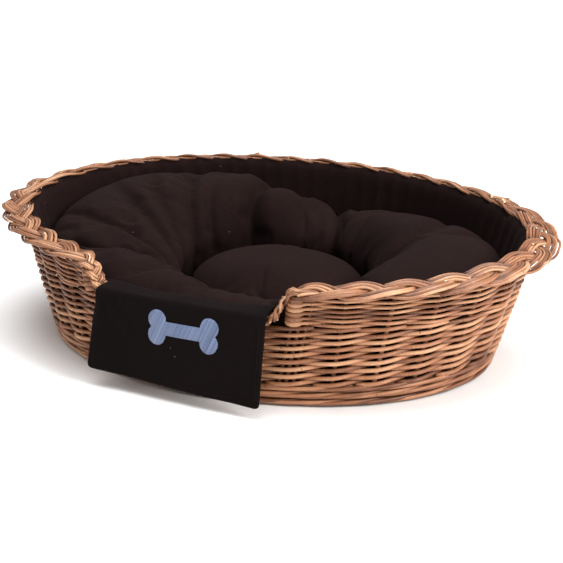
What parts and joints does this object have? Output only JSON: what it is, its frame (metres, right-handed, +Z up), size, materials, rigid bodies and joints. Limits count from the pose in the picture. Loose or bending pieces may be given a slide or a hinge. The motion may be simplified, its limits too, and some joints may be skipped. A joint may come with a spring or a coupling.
{
  "type": "wicker pet bed basket",
  "caption": "Oval willow basket bed with a low front entrance, plaited rim, cloth liner, hanging front flap, ring cushion and centre pad.",
  "frame": {"origin": "middle of the oval underside, on the floor", "axes": "+X along the oval, +Y towards the high back with the entrance on -Y, +Z up"},
  "size_m": [0.9152, 0.6181, 0.2249],
  "materials": {
    "willow_weave": "buff willow rods, satin",
    "willow_border": "buff willow plait, satin",
    "willow_stick": "buff willow stakes, satin",
    "cloth": "dark brown cotton twill, matt",
    "embroidery": "slate blue satin stitch",
    "filling": "white loose fibre"
  },
  "bodies": {
    "basket": {"base_weave": "willow_weave", "base_slath": "willow_stick", "foot_wale": "willow_weave", "side_stake_01": "willow_stick", "side_stake_02": "willow_stick", "side_stake_03": "willow_stick", "side_stake_04": "willow_stick", "side_stake_05": "willow_stick", "side_stake_06": "willow_stick", "side_stake_07": "willow_stick", "side_stake_08": "willow_stick", "side_stake_09": "willow_stick", "side_stake_10": "willow_stick", "side_stake_11": "willow_stick", "side_stake_12": "willow_stick", "side_stake_13": "willow_stick", "side_stake_14": "willow_stick", "side_stake_15": "willow_stick", "side_stake_16": "willow_stick", "side_stake_17": "willow_stick", "side_stake_18": "willow_stick", "side_stake_19": "willow_stick", "side_stake_20": "willow_stick", "side_stake_21": "willow_stick", "side_stake_22": "willow_stick", "side_stake_23": "willow_stick", "side_stake_24": "willow_stick", "side_stake_25": "willow_stick", "side_stake_26": "willow_stick", "side_stake_27": "willow_stick", "side_stake_28": "willow_stick", "side_stake_29": "willow_stick", "side_stake_30": "willow_stick", "side_stake_31": "willow_stick", "side_stake_32": "willow_stick", "wall_row_01": "willow_weave", "wall_row_02": "willow_weave", "wall_row_03": "willow_weave", "wall_row_04": "willow_weave", "wall_row_05": "willow_weave", "wall_row_06": "willow_weave", "wall_row_07": "willow_weave", "wall_row_08": "willow_weave", "wall_row_09": "willow_weave", "wall_row_10": "willow_weave", "rim_border": "willow_border", "left_post": "willow_border", "right_post": "willow_border", "sill_border": "willow_border", "liner": "cloth", "sill_cover": "cloth"},
    "flap": {"front_flap": "cloth", "flap_motif": "embroidery"},
    "bolster": {"bolster_cover": "cloth", "bolster_filling": "filling"},
    "pad": {"pad_cover": "cloth", "pad_filling": "filling"}
  },
  "joints": [
    {"name": "flap_hinge", "type": "hinge", "parent": "basket", "child": "flap", "pos_m": [0, -0.289, 0.14484], "axis": [-1, 0, 0], "range_deg": [0, 100]},
    {"name": "bolster_lift", "type": "slide", "parent": "basket", "child": "bolster", "axis": [0, 0, 1], "range_m": [0, 0.3]},
    {"name": "pad_lift", "type": "slide", "parent": "basket", "child": "pad", "axis": [0, 0, 1], "range_m": [0, 0.52]}
  ]
}
